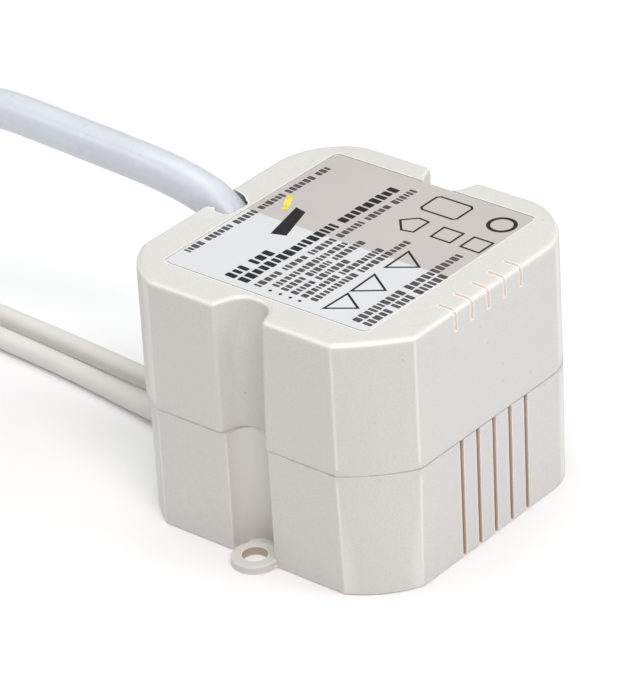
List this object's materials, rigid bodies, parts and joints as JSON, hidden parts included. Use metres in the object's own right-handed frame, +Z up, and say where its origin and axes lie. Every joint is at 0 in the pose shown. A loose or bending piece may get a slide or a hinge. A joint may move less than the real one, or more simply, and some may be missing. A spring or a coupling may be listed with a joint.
{
  "type": "electronic lighting transformer",
  "caption": "Compact electronic lighting transformer in a two-part plastic case with trimmed corners, a top label, foot lugs, a mains lead and a pair of low-voltage leads.",
  "frame": {"origin": "bottom centre of the case, on the surface that it stands on", "axes": "+Z up out of the label; +X along the line of the two mounting ears; +Y towards the side where the mains lead and the low-voltage leads leave"},
  "size_m": [0.0578, 0.2317, 0.0465],
  "materials": {
    "case": "satin",
    "label": "satin",
    "board": "matte",
    "ferrite": "matte",
    "black_plastic": "satin",
    "enamelled_wire": "gloss",
    "tape": "satin",
    "aluminium_sheet": "satin",
    "pad": "matte",
    "plated_steel": "satin",
    "film_capacitor": "gloss",
    "capacitor_sleeve": "gloss",
    "resistor_body": "satin",
    "glass_body": "gloss",
    "mains_sheath": "gloss",
    "brown_core": "satin",
    "blue_core": "satin",
    "copper": "satin",
    "lead_sheath": "satin",
    "solder": "gloss"
  },
  "bodies": {
    "root": {"cover_shell": "case", "base_shell": "case", "rating_label": "label", "circuit_board": "board", "ferrite_core_front": "ferrite", "ferrite_core_rear": "ferrite", "coil_former": "black_plastic", "primary_winding": "enamelled_wire", "insulation_tape": "tape", "secondary_winding": "enamelled_wire", "drive_core": "ferrite", "drive_windings": "enamelled_wire", "heat_sink": "aluminium_sheet", "transistor_pads": "pad", "transistors": "black_plastic", "rivets": "plated_steel", "thermal_cutout": "plated_steel", "bridging_capacitors": "film_capacitor", "input_capacitor": "film_capacitor", "choke_core": "ferrite", "choke_winding": "enamelled_wire", "fuse": "black_plastic", "start_capacitor": "capacitor_sleeve", "rectifier_diodes": "black_plastic", "resistors": "resistor_body", "trigger_diode": "glass_body", "mains_lead": "mains_sheath", "cable_retainer": "black_plastic", "live_core_inner": "brown_core", "neutral_core_inner": "blue_core", "live_core_end": "brown_core", "neutral_core_end": "blue_core", "mains_strands": "copper", "secondary_lead_a": "lead_sheath", "secondary_lead_b": "lead_sheath", "lead_strands_a": "copper", "lead_strands_b": "copper", "secondary_tails": "copper", "solder_joints": "solder"}
  },
  "joints": []
}
